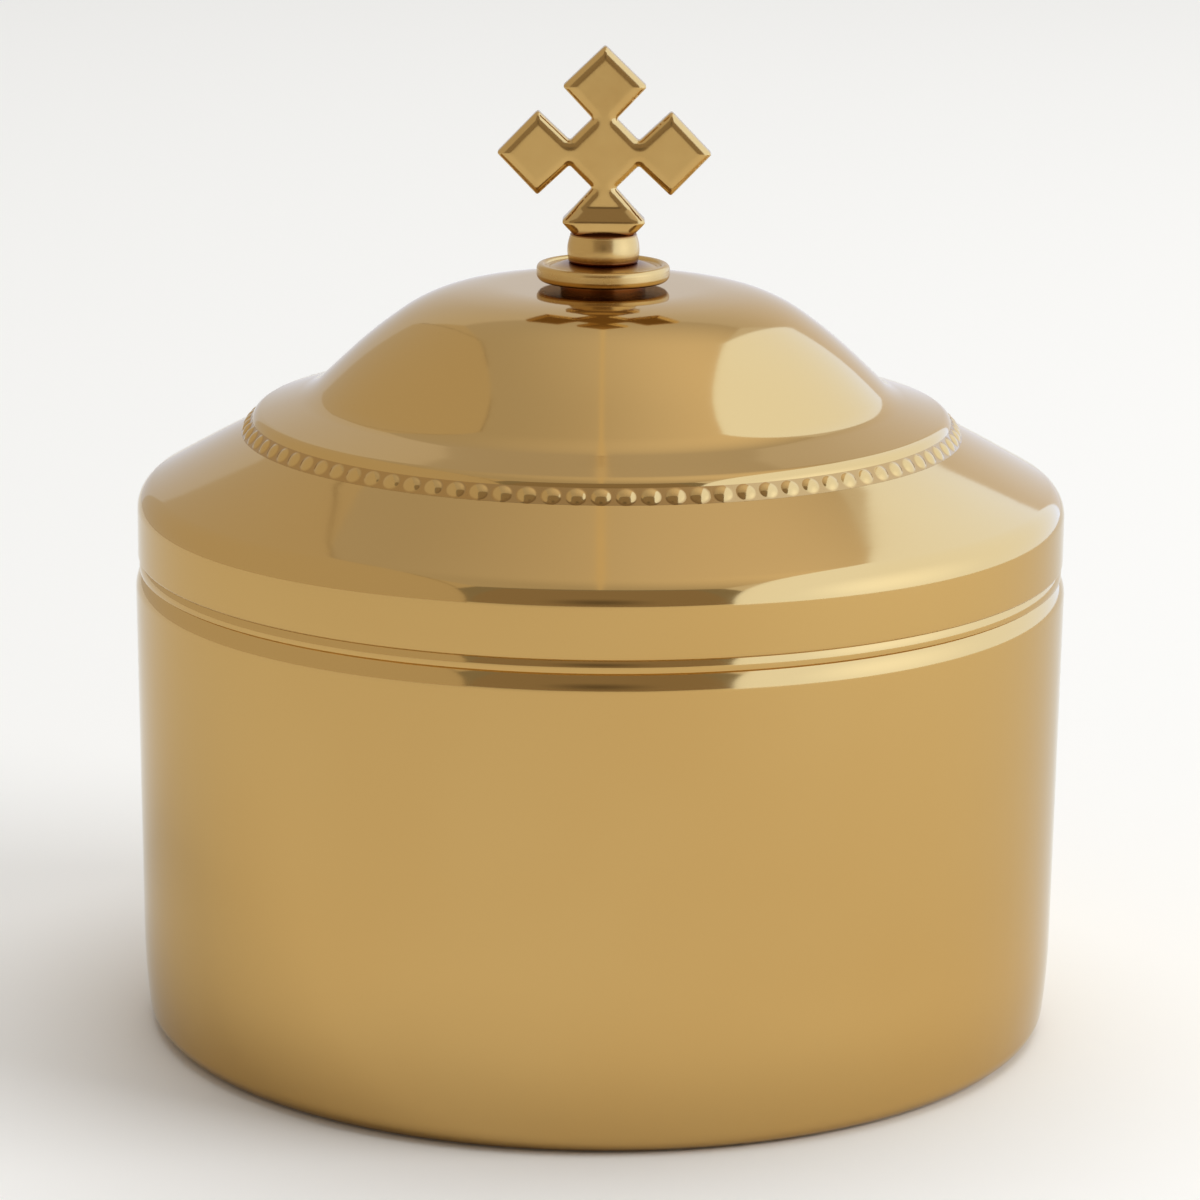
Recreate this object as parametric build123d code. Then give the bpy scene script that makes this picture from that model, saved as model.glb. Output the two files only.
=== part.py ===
from build123d import *
import os
from math import acos, asin, cos, degrees, radians, sin, sqrt

# A pyx: a round box of polished, gold-plated brass with a domed lid that lifts off and a small cross on top.
# Millimetres. The origin is at the centre of the foot, +Z is up, and the cross faces -Y.

# Spun cup
cup_diameter = 95.0
cup_height = 47.7
cup_wall = 1.2
cup_draft = 0.6
shoulder_radius = 3.2
shoulder_lean = 38.0
foot_sweep_radius = 75.0
foot_sweep_lean = 6.7
foot_radius = 2.3
standing_ring_width = 6.0
underside_recess = 0.6
underside_blend_radius = 25.0

# Turned ring in the mouth of the cup
seat_bead_height = 1.2
seat_bead_setback = 0.35
seat_bead_radius = 1.9
seat_bead_lean = 26.0
sleeve_wall = 0.8
sleeve_depth = 5.0
sleeve_rise = 4.5
sleeve_lead_in = 0.4
solder_gap = 0.04
lid_clearance = 0.2

# Spun lid, from the flat under the finial outwards
lid_wall = 1.0
lid_setback = 0.23
crown_flat_radius = 9.9
crown_top_radius = 24.9
crown_bend_radius = 15.4
crown_side_radius = 46.0
crown_side_length = 3.7
cove_radius = 5.9
flare_length = 3.9
edge_radius = 1.4
edge_tuck_radius = 0.3
edge_drop = 0.3
corner_radius = 0.4
lid_shoulder_radius = 3.05
skirt_height = 4.9
skirt_edge_radius = 0.3

# Slopes of the lid's profile, in degrees below the level
crown_top_slope = 11.4
crown_bend_slope = 34.6
crown_side_slope = 43.6
flare_slope = 17.8
edge_slope = 62.0
tier_slope = 27.6
lid_shoulder_slope = 29.8

# Row of half-round beads on the step between crown and tier
bead_count = 96
bead_radius = 0.64
bead_tip_radius = 0.28
bead_wire_radius = 0.36
bead_length = 2.3

# Finial, from the lid upwards
flange_radius = 6.75
flange_edge_height = 1.76
flange_edge_radius = 0.5
flange_edge_start = -64.0
flange_belly_radius = 1.5
flange_belly_slope = 150.0
flange_foot_radius = 4.6
flange_groove_radius = 5.5
flange_groove_height = 1.9
flange_disc_radius = 5.2
flange_disc_height = 2.0
flange_seat_radius = 3.7
flange_seat_height = 2.39
ferrule_height = 3.0
ferrule_foot_radius = 3.45
ferrule_middle_radius = 3.65
ferrule_top_radius = 3.25
ferrule_edge_radius = 0.25
cross_reach = 10.7
cross_centre_height = 8.1
cross_thickness = 2.6
arm_corner_reach = 6.73
arm_half_width = 4.12
arm_root = 2.2
centre_half_diagonal = 4.7
cross_tip_radius = 0.3
cross_neck_radius = 0.3
cross_edge_radius = 0.25
cross_foot_half_width = 3.1
lower_corner_height = 1.2
swell_top = 3.3
swell_depth = 2.2
swell_foot_depth = 2.0

# Fastening of the finial
stud_diameter = 3.0
stud_depth_in_cross = 1.6
stud_end_chamfer = 0.4
stud_below_nut = 1.0
thread_gap = 0.03
stud_hole_gap = 0.15
washer_diameter = 7.0
washer_height = 0.5
nut_width = 5.5
nut_height = 2.4

cup_radius = cup_diameter / 2
mouth_bore = cup_radius - cup_wall
seat_height = cup_height + seat_bead_height
lid_radius = cup_radius - lid_setback
lid_bore = lid_radius - lid_wall
plain_hole = stud_diameter / 2 + stud_hole_gap
tapped_hole = stud_diameter / 2 + thread_gap


def normal(slope):
    """Outward normal, as (r, z), of a profile that falls by slope degrees as it goes outwards."""
    return sin(radians(slope)), cos(radians(slope))


class Profile:
    """Half section of a turned or spun piece, drawn as lines and tangent arcs in the XZ plane."""

    def __init__(self, r, z, slope=0.0):
        self.r, self.z, self.slope = r, z, slope
        self.edges = []

    def line_to(self, r, z):
        self.edges.append(Line((self.r, 0, self.z), (r, 0, z)))
        self.r, self.z = r, z

    def run(self, length):
        """Straight on, along the present slope."""
        a = radians(self.slope)
        self.line_to(self.r + length * cos(a), self.z - length * sin(a))

    def bend(self, radius, slope):
        """Tangent arc to a new slope: it rounds off where the slope grows, and hollows where it lessens."""
        side = 1 if slope > self.slope else -1
        nr, nz = normal(self.slope)
        centre_r = self.r - side * radius * nr
        centre_z = self.z - side * radius * nz

        def on_arc(s):
            nr, nz = normal(s)
            return centre_r + side * radius * nr, 0, centre_z + side * radius * nz

        end = on_arc(slope)
        self.edges.append(ThreePointArc((self.r, 0, self.z), on_arc((self.slope + slope) / 2), end))
        self.r, self.z, self.slope = end[0], end[2], slope


def between(first, second):
    """Edge that joins the ends of two profiles."""
    return Line((first.r, 0, first.z), (second.r, 0, second.z))


def turned(edges):
    """Solid of revolution about the upright axis, from the edges of a closed half section."""
    return revolve(make_face(edges), axis=Axis.Z)


def tube(outer_radius, inner_radius, bottom, height):
    ring = Cylinder(outer_radius, height) - Cylinder(inner_radius, height)
    return Pos(0, 0, bottom + height / 2) * ring


def foot_of_cup(profile, inset):
    """Swept-in foot, standing ring and raised underside, as far as the axis, offset inwards by inset."""
    recess_slope = degrees(acos(1 - underside_recess / (2 * underside_blend_radius)))
    profile.slope = 90 + cup_draft
    profile.bend(foot_sweep_radius - inset, 90 + foot_sweep_lean)
    profile.bend(foot_radius - inset, 180)
    profile.run(standing_ring_width)
    profile.bend(underside_blend_radius - inset, 180 + recess_slope)
    profile.bend(underside_blend_radius + inset, 180)
    profile.line_to(0, profile.z)


def body_cup():
    """Spun cup: rounded shoulder, drafted wall and a foot that stands on a flat ring."""
    draft, lean, sweep = radians(cup_draft), radians(shoulder_lean), radians(foot_sweep_lean)
    shoulder_drop = shoulder_radius * (sin(lean) + sin(draft))
    foot_drop = foot_sweep_radius * (sin(sweep) - sin(draft)) + foot_radius * (1 - sin(sweep))
    wall_length = (cup_height - shoulder_drop - foot_drop) / cos(draft)

    outside = Profile(cup_radius - shoulder_radius * (1 - cos(lean)), cup_height, 90 - shoulder_lean)
    inside = Profile(mouth_bore, cup_height, 90)
    rim = between(outside, inside)
    outside.bend(shoulder_radius, 90 + cup_draft)
    outside.run(wall_length)
    nr, nz = normal(90 + cup_draft)
    inside.run(sleeve_depth)
    inside.line_to(outside.r - cup_wall * nr, outside.z - cup_wall * nz)
    foot_of_cup(outside, 0)
    foot_of_cup(inside, cup_wall)
    return turned([rim] + outside.edges + inside.edges + [between(outside, inside)])


def mouth_ring():
    """Ring soldered in the mouth: a sleeve each way, and a rounded bead that the lid sits on."""
    inner = lid_bore - lid_clearance - sleeve_wall
    upper = lid_bore - lid_clearance
    lower = mouth_bore - solder_gap
    lean = radians(seat_bead_lean)
    undercut = degrees(asin(seat_bead_height / seat_bead_radius - sin(lean)))
    bead_top = cup_radius - seat_bead_setback - seat_bead_radius * (1 - cos(lean))

    section = Profile(inner, seat_height + sleeve_rise)
    section.run(upper - sleeve_lead_in - inner)
    section.bend(sleeve_lead_in, 90)
    section.line_to(upper, seat_height)
    section.line_to(bead_top, seat_height)
    section.slope = 90 - seat_bead_lean
    section.bend(seat_bead_radius, 90 + undercut)
    section.line_to(lower, section.z)
    section.line_to(lower, cup_height - sleeve_depth)
    section.line_to(inner, section.z)
    section.line_to(inner, seat_height + sleeve_rise)
    return turned(section.edges)


def crown_profile(top, inset):
    """Crown of the lid, from the hole for the stud out to where the tier starts, offset inwards by inset."""
    crown = Profile(plain_hole, top - inset)
    crown.run(crown_flat_radius - plain_hole)
    crown.bend(crown_top_radius - inset, crown_top_slope)
    crown.bend(crown_bend_radius - inset, crown_bend_slope)
    crown.bend(crown_side_radius - inset, crown_side_slope)
    crown.run(crown_side_length)
    crown.bend(cove_radius + inset, flare_slope)
    crown.run(flare_length)
    crown.bend(edge_radius - inset, edge_slope)
    crown.bend(edge_tuck_radius + lid_wall - inset, 90)
    crown.run(edge_drop)
    crown.bend(corner_radius + inset, tier_slope)
    return crown


def lid_profile(top, inset):
    """Whole lid down to the end of its shoulder. The tier's curve is what reaches from crown to shoulder."""
    lid = crown_profile(top, inset)
    start = lid.r + inset * sin(radians(tier_slope))
    end = lid_radius - lid_shoulder_radius * (1 - sin(radians(lid_shoulder_slope)))
    tier_radius = (end - start) / (sin(radians(lid_shoulder_slope)) - sin(radians(tier_slope)))
    lid.bend(tier_radius - inset, lid_shoulder_slope)
    lid.bend(lid_shoulder_radius - inset, 90)
    return lid


crown_top = seat_height + skirt_height - lid_profile(0, 0).z
ferrule_foot = crown_top + flange_seat_height
cross_foot = ferrule_foot + ferrule_height


def lid_shell():
    """Spun lid with an even wall, whose skirt stands on the mouth ring's bead."""
    outside = lid_profile(crown_top, 0)
    inside = lid_profile(crown_top, lid_wall)
    outside.line_to(lid_radius, seat_height + skirt_edge_radius)
    outside.bend(skirt_edge_radius, 180)
    outside.line_to(lid_bore, seat_height)
    inside.line_to(lid_bore, seat_height)
    hole = Line((plain_hole, 0, crown_top), (plain_hole, 0, crown_top - lid_wall))
    return turned([hole] + outside.edges + inside.edges)


def beaded_ring():
    """Half-round beaded wire on the step under the crown: oval beads, flat where they lie on the lid."""
    tier = crown_profile(crown_top, 0)
    nr, nz = normal(tier_slope)
    ring_radius = tier.r - corner_radius * (1 - nr) + solder_gap
    ring_height = tier.z + (tier.r - ring_radius) * nr / nz + bead_radius + solder_gap

    lid = lid_profile(crown_top, -solder_gap)
    below = Polyline(
        (lid.r, 0, lid.z), (lid.r, 0, seat_height), (plain_hole, 0, seat_height),
        (plain_hole, 0, crown_top + solder_gap),
    )
    lid_with_gap = turned(lid.edges + [below])

    half = bead_length / 2
    section = [
        ThreePointArc((-half, bead_tip_radius), (0, bead_radius), (half, bead_tip_radius)),
        Polyline((half, bead_tip_radius), (half, 0), (-half, 0), (-half, bead_tip_radius)),
    ]
    bead = Pos(0, -ring_radius, ring_height) * revolve(make_face(section), axis=Axis.X) - lid_with_gap
    beads = [Rot(0, 0, 360 * k / bead_count) * bead for k in range(bead_count)]
    wire = Pos(0, 0, ring_height) * Torus(ring_radius, bead_wire_radius) - lid_with_gap
    return wire + beads


def finial_flange():
    """Turned foot of the finial: a thick rounded edge clear of the lid, and a low cone under the ferrule."""
    edge_centre = flange_radius - flange_edge_radius
    nr, nz = normal(flange_edge_start)
    edge_middle = crown_top + flange_edge_height

    section = Profile(plain_hole, ferrule_foot)
    section.line_to(flange_seat_radius, ferrule_foot)
    section.line_to(flange_disc_radius, crown_top + flange_disc_height)
    section.line_to(flange_groove_radius, crown_top + flange_groove_height)
    section.line_to(edge_centre + flange_edge_radius * nr, edge_middle + flange_edge_radius * nz)
    section.slope = flange_edge_start
    section.bend(flange_edge_radius, 90)
    section.bend(flange_belly_radius, flange_belly_slope)
    section.line_to(flange_foot_radius, section.z)
    section.line_to(flange_foot_radius, crown_top)
    section.line_to(plain_hole, crown_top)
    section.line_to(plain_hole, ferrule_foot)
    return turned(section.edges)


def finial_ferrule():
    """Barrel-shaped collar with softened ends."""
    foot = (ferrule_foot_radius, 0, ferrule_foot)
    middle = (ferrule_middle_radius, 0, ferrule_foot + ferrule_height / 2)
    top = (ferrule_top_radius, 0, cross_foot)
    section = [
        ThreePointArc(foot, middle, top),
        Polyline(top, (plain_hole, 0, cross_foot), (plain_hole, 0, ferrule_foot), foot),
    ]
    barrel = turned(section)
    ends = barrel.edges().filter_by(GeomType.CIRCLE).sort_by(SortBy.RADIUS)[-2:]
    return fillet(ends, ferrule_edge_radius)


def cross_outline():
    """Square on its corner, with a kite on each of its corners; the lower kite stops at the ferrule."""
    tip = cross_reach + cross_tip_radius * (sqrt(2) - 1)
    half = arm_half_width + cross_tip_radius * (sqrt(2) - 1)
    side = centre_half_diagonal * sqrt(2)
    outline = Sketch() + Rectangle(side, side, rotation=45)
    for turn in (0, 90, 180):
        kite = Polygon(
            (tip, 0), (arm_corner_reach, half), (arm_root, 0), (arm_corner_reach, -half), align=None
        )
        outline += Rot(0, 0, turn) * kite
    foot = cross_centre_height
    corner = foot - lower_corner_height
    lower = Polygon(
        (foot, cross_foot_half_width), (corner, half), (arm_root, 0), (corner, -half),
        (foot, -cross_foot_half_width), align=None,
    )
    return outline + Rot(0, 0, 270) * lower


def cross_face():
    """Outline with its inner corners and its tips softened."""
    outline = cross_outline()
    necks = [v for v in outline.vertices() if v.distance_to((0, 0, 0)) < arm_corner_reach - arm_root]
    outline = fillet(necks, cross_neck_radius)
    tips = [v for v in outline.vertices() if v.distance_to((0, 0, 0)) > arm_corner_reach]
    tips = [v for v in tips if v.Y > lower_corner_height / 2 - cross_centre_height]
    return fillet(tips, cross_tip_radius)


def cross_plate():
    """Flat plate of the cross with its edges softened."""
    plate = extrude(Plane.XZ * cross_face(), cross_thickness / 2, both=True)
    faces = plate.faces().sort_by(Axis.Y)
    return fillet(faces[0].edges() + faces[-1].edges(), cross_edge_radius)


def cross_swelling():
    """Lower arm of the cross, which swells towards its foot to take the stud."""
    foot = -cross_centre_height
    side = Polygon(
        (-swell_foot_depth, foot), (swell_foot_depth, foot), (swell_depth, foot + lower_corner_height),
        (cross_thickness / 2, foot + swell_top), (-cross_thickness / 2, foot + swell_top),
        (-swell_depth, foot + lower_corner_height), align=None,
    )
    block = extrude(Plane.YZ * side, 2 * arm_half_width, both=True)
    return block & extrude(Plane.XZ * cross_face(), swell_depth, both=True)


def finial_cross():
    """Cast cross: a flat plate whose lower arm is thicker and tapped for the stud."""
    cross = cross_plate() + cross_swelling()
    return Pos(0, 0, cross_foot + cross_centre_height) * cross - stud_socket()


def stud_socket():
    return Pos(0, 0, cross_foot) * Cylinder(tapped_hole, 2 * stud_depth_in_cross)


def finial_stud():
    """Threaded stud, drawn at its thread's outer diameter, from below the nut up into the cross."""
    bottom = crown_top - lid_wall - washer_height - nut_height - stud_below_nut
    top = cross_foot + stud_depth_in_cross - thread_gap
    rod = Pos(0, 0, (bottom + top) / 2) * Cylinder(stud_diameter / 2, top - bottom)
    return chamfer(rod.edges().filter_by(GeomType.CIRCLE), stud_end_chamfer)


def finial_washer():
    return tube(washer_diameter / 2, plain_hole, crown_top - lid_wall - washer_height, washer_height)


def finial_nut():
    """Hexagon nut, with its corners turned off on the free side."""
    foot = crown_top - lid_wall - washer_height - nut_height
    hexagon = extrude(RegularPolygon(nut_width / 2, 6, major_radius=False), nut_height)
    corner = nut_width / sqrt(3)
    turned_off = nut_width / 2
    rise = (corner - turned_off) / sqrt(3)
    section = Polyline(
        (0, 0, 0), (turned_off, 0, 0), (corner, 0, rise), (corner, 0, nut_height), (0, 0, nut_height),
        (0, 0, 0),
    )
    blank = hexagon & turned([section])
    return Pos(0, 0, foot) * (blank - Pos(0, 0, nut_height / 2) * Cylinder(tapped_hole, nut_height))


pieces = {
    "body_cup": body_cup,
    "mouth_ring": mouth_ring,
    "lid_shell": lid_shell,
    "beaded_ring": beaded_ring,
    "finial_flange": finial_flange,
    "finial_ferrule": finial_ferrule,
    "finial_cross": finial_cross,
    "finial_stud": finial_stud,
    "finial_washer": finial_washer,
    "finial_nut": finial_nut,
}

os.makedirs("parts", exist_ok=True)
for name, make in pieces.items():
    export_step(make(), f"parts/{name}.step")
print(f"seat {seat_height:.2f}  crown top {crown_top:.2f}")
print(f"height {cross_foot + cross_centre_height + cross_reach:.2f}")
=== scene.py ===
from math import acos, asin, atan2, ceil, cos, degrees, hypot, pi, radians, sin, sqrt, tan

import bmesh
import bpy
from bpy.props import FloatProperty, FloatVectorProperty, IntProperty, PointerProperty
from bpy.types import Operator, Panel, PropertyGroup
from mathutils import Matrix, Vector
from mathutils.geometry import delaunay_2d_cdt


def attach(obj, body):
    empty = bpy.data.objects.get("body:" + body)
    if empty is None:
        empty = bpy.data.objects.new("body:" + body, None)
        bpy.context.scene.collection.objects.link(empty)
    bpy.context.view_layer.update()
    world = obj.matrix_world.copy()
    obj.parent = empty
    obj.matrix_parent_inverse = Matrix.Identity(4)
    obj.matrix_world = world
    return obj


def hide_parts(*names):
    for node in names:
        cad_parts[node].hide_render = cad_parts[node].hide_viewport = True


bl_info = {
    "name": "Pyx",
    "version": (1, 0, 0),
    "blender": (4, 5, 0),
    "location": "3D View > Sidebar > Pyx",
    "description": "Polished gold-plated box with a domed lift-off lid, a row of beads and a small cross",
    "category": "Object",
}

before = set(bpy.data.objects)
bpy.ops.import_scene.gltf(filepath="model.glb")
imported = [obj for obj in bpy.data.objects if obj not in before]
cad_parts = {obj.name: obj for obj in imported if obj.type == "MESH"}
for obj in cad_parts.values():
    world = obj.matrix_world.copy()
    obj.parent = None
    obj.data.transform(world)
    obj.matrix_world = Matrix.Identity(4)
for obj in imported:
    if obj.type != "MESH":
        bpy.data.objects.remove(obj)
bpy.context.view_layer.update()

MM = 0.001
# Fineness of the meshes: steps round a turned piece, degrees along an arc, and length of a step
ROUND = 192
ARC_STEP = 2.5
LINE_STEP = 2.0 * MM
TINY = 0.0001 * MM


def linear(hex_colour):
    """Linear red, green and blue of an sRGB hex colour."""
    channels = [int(hex_colour[k:k + 2], 16) / 255 for k in (1, 3, 5)]
    return tuple(c / 12.92 if c <= 0.04045 else ((c + 0.055) / 1.055) ** 2.4 for c in channels)


def number(name, description, value, **kind):
    return FloatProperty(name=name, description=description, default=value, **kind)


def length(name, description, millimetres):
    return number(name, description, millimetres * MM, min=0.0, unit="LENGTH", precision=5)


def angle(name, description, in_degrees):
    return number(name, description, radians(in_degrees), subtype="ANGLE", unit="ROTATION")


def amount(name, description, value, **kind):
    return number(name, description, value, min=0.0, **kind)


def colour(name, description, hex_colour):
    tint = linear(hex_colour)
    return FloatVectorProperty(
        name=name, description=description, default=tint, min=0.0, max=1.0, subtype="COLOR")


class CupSizes(PropertyGroup):
    diameter: length("Diameter", "Width of the cup over its wall", 95.0)
    height: length("Height", "From the floor to the rim under the mouth ring", 47.7)
    wall: length("Wall", "Thickness of the spun metal", 1.2)
    draft: angle("Draft", "Lean of the wall inwards towards the foot", 0.6)
    shoulder_radius: length("Shoulder radius", "Rounding at the mouth", 3.2)
    shoulder_lean: angle("Shoulder lean", "How far the shoulder turns in before it ends", 38.0)
    sweep_radius: length("Foot sweep radius", "Gentle curve above the foot", 75.0)
    sweep_lean: angle("Foot sweep lean", "Lean of the wall where the foot starts", 6.7)
    foot_radius: length("Foot radius", "Rounding of the foot", 2.3)
    ring_width: length("Standing ring width", "Flat ring that the cup stands on", 6.0)
    recess: length("Underside recess", "Height of the underside above the floor", 0.6)
    blend_radius: length("Underside blend radius", "Curves from the ring to the raised underside", 25.0)


class MouthRingSizes(PropertyGroup):
    bead_height: length("Bead height", "Height of the bead that the lid stands on", 1.2)
    bead_setback: length("Bead setback", "How far the bead stands back from the cup's wall", 0.35)
    bead_radius: length("Bead radius", "Rounding of the bead", 1.9)
    bead_lean: angle("Bead lean", "How far the bead turns in at its top", 26.0)
    sleeve_wall: length("Sleeve wall", "Thickness of the sleeve", 0.8)
    sleeve_depth: length("Sleeve depth", "Length of the sleeve inside the cup", 5.0)
    sleeve_rise: length("Sleeve rise", "Length of the sleeve inside the lid", 4.5)
    lead_in: length("Lead-in", "Rounding at the top of the sleeve", 0.4)
    solder_gap: length("Solder gap", "Gap at a soldered joint", 0.04)
    clearance: length("Clearance", "Play between sleeve and lid", 0.2)


class LidSizes(PropertyGroup):
    wall: length("Wall", "Thickness of the spun metal", 1.0)
    setback: length("Setback", "How far the skirt stands back from the cup's wall", 0.23)
    flat_radius: length("Flat radius", "Level middle of the crown, under the finial", 9.9)
    top_radius: length("Top radius", "Curve of the crown's top", 24.9)
    bend_radius: length("Bend radius", "Curve between the crown's top and side", 15.4)
    side_radius: length("Side radius", "Curve of the crown's side", 46.0)
    side_length: length("Side length", "Straight end of the crown's side", 3.7)
    cove_radius: length("Cove radius", "Hollow at the foot of the crown", 5.9)
    flare_length: length("Flare length", "Straight end of the hollow", 3.9)
    edge_radius: length("Edge radius", "Rounding of the crown's edge", 1.4)
    tuck_radius: length("Tuck radius", "Inner rounding under the crown's edge", 0.3)
    edge_drop: length("Edge drop", "Upright part under the crown's edge", 0.3)
    corner_radius: length("Corner radius", "Hollow corner behind the beads", 0.4)
    shoulder_radius: length("Shoulder radius", "Rounding between tier and skirt", 3.05)
    skirt_height: length("Skirt height", "Upright skirt at the lid's foot", 4.9)
    skirt_edge: length("Skirt edge", "Rounding of the skirt's lower edge", 0.3)
    top_slope: angle("Top slope", "Slope where the crown's top ends", 11.4)
    bend_slope: angle("Bend slope", "Slope where the crown's bend ends", 34.6)
    side_slope: angle("Side slope", "Slope of the crown's side", 43.6)
    flare_slope: angle("Flare slope", "Slope of the flare at the crown's foot", 18.6)
    edge_slope: angle("Edge slope", "Slope where the edge starts to tuck under", 62.0)
    tier_slope: angle("Tier slope", "Slope of the tier beside the beads", 27.6)
    shoulder_slope: angle("Shoulder slope", "Slope of the tier at the shoulder", 29.8)


class BeadSizes(PropertyGroup):
    count: IntProperty(name="Beads", description="Number of beads in the row", default=96, min=12)
    band_rise: length("Band rise", "Height of the beaded band above the start of the tier", 1.0)
    band_reach: length("Band reach", "How far the band reaches out over the tier", 1.02)
    bead_length: length("Length", "Length of a bead", 1.95)
    relief: length("Relief", "How far a bead stands out of the band", 0.24)
    bead_share: amount("Share", "Part of the band's width that a bead takes", 0.92)
    # Brown between the beads is partly tarnish and partly painted shade.
    tarnish_and_painted_shade: amount("Tarnish", "How brown the band is between the beads", 0.35)
    tarnish_and_shade_height: amount("Tarnish height", "Part of a bead's height at which the brown ends", 0.3)


class FinialSizes(PropertyGroup):
    flange_radius: length("Flange radius", "Outside of the flange", 6.75)
    edge_height: length("Edge height", "Height of the flange's widest place above the lid", 1.76)
    edge_radius: length("Edge radius", "Rounding over the flange's edge", 0.5)
    edge_start: angle("Edge start", "Slope where that rounding starts", -64.0)
    edge_wall: length("Edge wall", "Upright part of the flange's edge", 0.55)
    belly_radius: length("Belly radius", "Rounding under the flange's edge", 0.72)
    belly_slope: angle("Belly slope", "Slope where that rounding ends", 150.0)
    foot_radius: length("Foot radius", "Part of the flange that stands on the lid", 4.3)
    groove_radius: length("Groove radius", "Radius of the groove inside the edge", 5.5)
    groove_height: length("Groove height", "Height of the groove above the lid", 1.9)
    disc_radius: length("Disc radius", "Low cone inside the groove", 5.2)
    disc_height: length("Disc height", "Height of the cone's edge above the lid", 2.0)
    seat_radius: length("Seat radius", "Flat that the ferrule stands on", 3.7)
    seat_height: length("Seat height", "Height of that flat above the lid", 2.39)
    ferrule_height: length("Ferrule height", "Height of the collar", 3.0)
    ferrule_foot: length("Ferrule foot", "Radius of the collar at its foot", 3.45)
    ferrule_middle: length("Ferrule middle", "Radius of the collar at half its height", 3.65)
    ferrule_top: length("Ferrule top", "Radius of the collar at its top", 3.25)
    ferrule_edge: length("Ferrule edge", "Rounding of the collar's ends", 0.25)
    stud_diameter: length("Stud diameter", "Outer diameter of the thread", 3.0)
    stud_pitch: length("Stud pitch", "Pitch of the thread", 0.5)
    stud_in_cross: length("Stud in cross", "Length of the stud inside the cross", 1.6)
    stud_below_nut: length("Stud below nut", "Length of the stud that stands out of the nut", 1.0)
    hole_gap: length("Hole gap", "Gap round the stud in plain holes", 0.15)
    washer_height: length("Washer height", "Thickness of the washer", 0.5)
    nut_height: length("Nut height", "Thickness of the nut", 2.4)


class CrossSizes(PropertyGroup):
    reach: length("Reach", "From the centre to the tip of an arm", 10.7)
    centre_height: length("Centre height", "From the foot to the centre", 8.1)
    thickness: length("Thickness", "Thickness of the plate at its middle", 2.6)
    edge_thickness: length("Edge thickness", "Thickness of the plate at its edge", 1.36)
    pillow: length("Pillow", "Width of the rounding along the edges", 1.05)
    corner_reach: length("Corner reach", "From the centre to the widest place of an arm", 6.73)
    half_width: length("Half width", "Half the width of an arm there", 4.12)
    root: length("Root", "From the centre to the inner corner of an arm", 2.2)
    half_diagonal: length("Half diagonal", "Half the diagonal of the middle square", 4.7)
    tip_radius: length("Tip radius", "Rounding of the corners", 0.3)
    foot_half_width: length("Foot half width", "Half the width of the lower arm at its foot", 3.1)
    lower_corner_height: length("Lower corner height", "Height of the lower arm's corners", 1.2)
    swell_top: length("Swelling top", "Height at which the lower arm starts to swell", 2.75)
    swell_depth: length("Swelling depth", "Half the lower arm's thickness at its corners", 1.95)
    swell_foot_depth: length("Swelling foot depth", "Half the lower arm's thickness at its foot", 1.9)


class Finishes(PropertyGroup):
    gold: colour("Gold", "Polished gold plate", "#c8a466")
    gold_warm: colour("Warm gold", "Gold plate where it is thinner or tarnished", "#be9351")
    # The recess colour is brown in corners: partly tarnish, partly painted shade.
    gold_recess_tarnish_and_shade: colour("Recess", "Gold plate in corners that polish doesn't reach", "#743c14")
    gold_satin: colour("Satin gold", "Gold plate inside, off the spinning tool", "#dcbf86")
    gold_edge: colour("Gold at the edge", "Tint of the gold where it turns away from the eye", "#eeeeea")
    brass: colour("Brass", "Plain turned brass", "#c9a25c")
    brass_dull: colour("Dull brass", "Plain brass where it has dulled", "#9c7640")
    polish: amount("Polish", "Roughness of the polished plate", 0.06)
    satin: amount("Satin", "Roughness of the plate inside", 0.36)
    bead_polish: amount("Bead polish", "Roughness of the beads", 0.09)
    cross_polish: amount("Cross polish", "Roughness of the cross", 0.11)
    turned_polish: amount("Turned polish", "Roughness of flange and ferrule, which are polished less", 0.22)
    brass_polish: amount("Brass polish", "Roughness of the plain brass where it hasn't dulled", 0.24)


class StageSettings(PropertyGroup):
    floor: colour("Floor", "Plain pale floor", "#f7f7f6")
    room_light: amount("Room light", "Brightness of the room all round", 0.38)
    tent_left: amount("Tent left", "Brightness of the tent on the left", 0.7)
    tent_top: amount("Tent top", "Brightness of the tent's top on the right", 1.15)
    tent_right: amount("Tent right", "Brightness of the round panel on the right", 2.6)
    tent_back: amount("Tent back", "Brightness of the back of the tent", 1.25)
    tent_mouth: amount("Tent mouth", "Brightness of the room in front of the tent", 0.38)
    tent_seam: amount("Tent seam", "Brightness of the dark seams of the tent", 0.4)
    top_lamp: amount("Top lamp", "Power of the lamp over the paper", 40.0, unit="POWER")
    right_lamp: amount("Right lamp", "Power of the lamp at the right", 10.0, unit="POWER")
    camera_distance: length("Camera distance", "From the object's axis to the camera", 460.0)
    camera_height: length("Camera height", "Height of the camera above the floor", 152.65)
    camera_pitch: angle("Camera pitch", "How far the camera looks down", 13.34)
    camera_roll: angle("Camera roll", "Tilt of the camera about its own axis", 0.556)
    focal_length: number("Focal length", "Focal length on a sensor 36 mm wide", 137.7, unit="CAMERA")


class PyxSettings(PropertyGroup):
    cup: PointerProperty(type=CupSizes)
    mouth_ring: PointerProperty(type=MouthRingSizes)
    lid: PointerProperty(type=LidSizes)
    beads: PointerProperty(type=BeadSizes)
    finial: PointerProperty(type=FinialSizes)
    cross: PointerProperty(type=CrossSizes)
    finishes: PointerProperty(type=Finishes)
    stage: PointerProperty(type=StageSettings)


# Heights and radii that several pieces share

def cup_radius(pyx):
    return pyx.cup.diameter / 2


def seat_height(pyx):
    return pyx.cup.height + pyx.mouth_ring.bead_height


def lid_radius(pyx):
    return cup_radius(pyx) - pyx.lid.setback


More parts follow.
